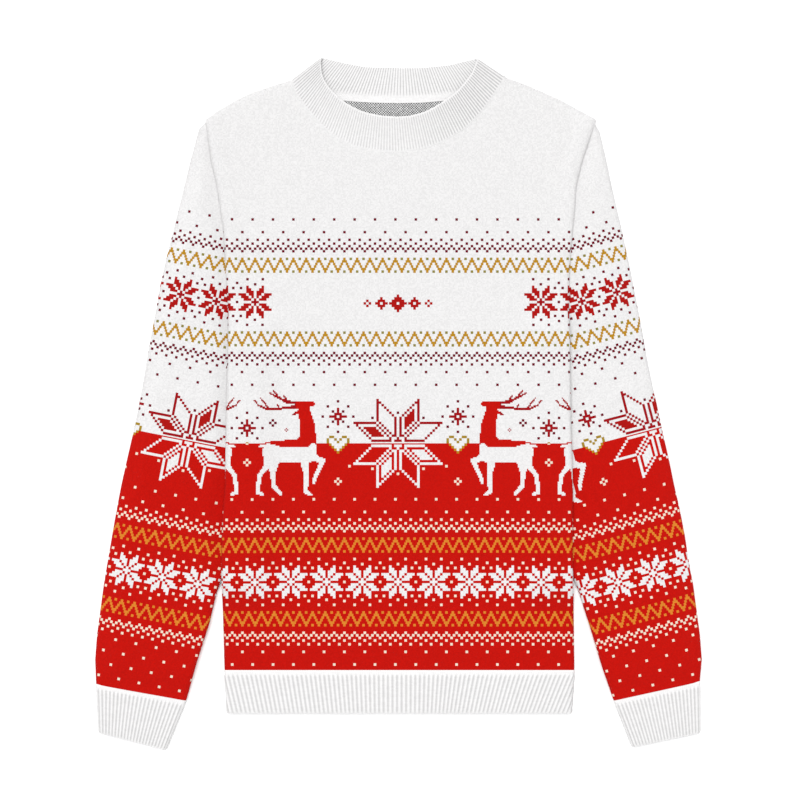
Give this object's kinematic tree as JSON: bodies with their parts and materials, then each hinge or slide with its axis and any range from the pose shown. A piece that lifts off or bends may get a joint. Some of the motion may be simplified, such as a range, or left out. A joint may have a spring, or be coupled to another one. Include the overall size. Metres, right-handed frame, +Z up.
{
  "type": "christmas sweater",
  "caption": "Long-sleeved crew-neck knitted sweater laid out flat, patterned front and sleeves, ribbed neckband, cuffs and hem band.",
  "frame": {"origin": "middle of the garment's outline, on the surface it lies on", "axes": "+Y from the hem towards the neck, +X towards the wearer's left sleeve, +Z up from the surface through the back and then the front"},
  "size_m": [0.638, 0.728, 0.0129],
  "materials": {
    "jacquard_knit": "matte stranded knit in white and red with gold",
    "rib_knit": "matte white one-by-one rib"
  },
  "bodies": {
    "root": {"front_panel": "jacquard_knit", "back_panel": "jacquard_knit", "sleeve_left": "jacquard_knit", "sleeve_right": "jacquard_knit", "cuff_left": "rib_knit", "cuff_right": "rib_knit", "hem_band": "rib_knit", "neckband": "rib_knit"}
  },
  "joints": []
}
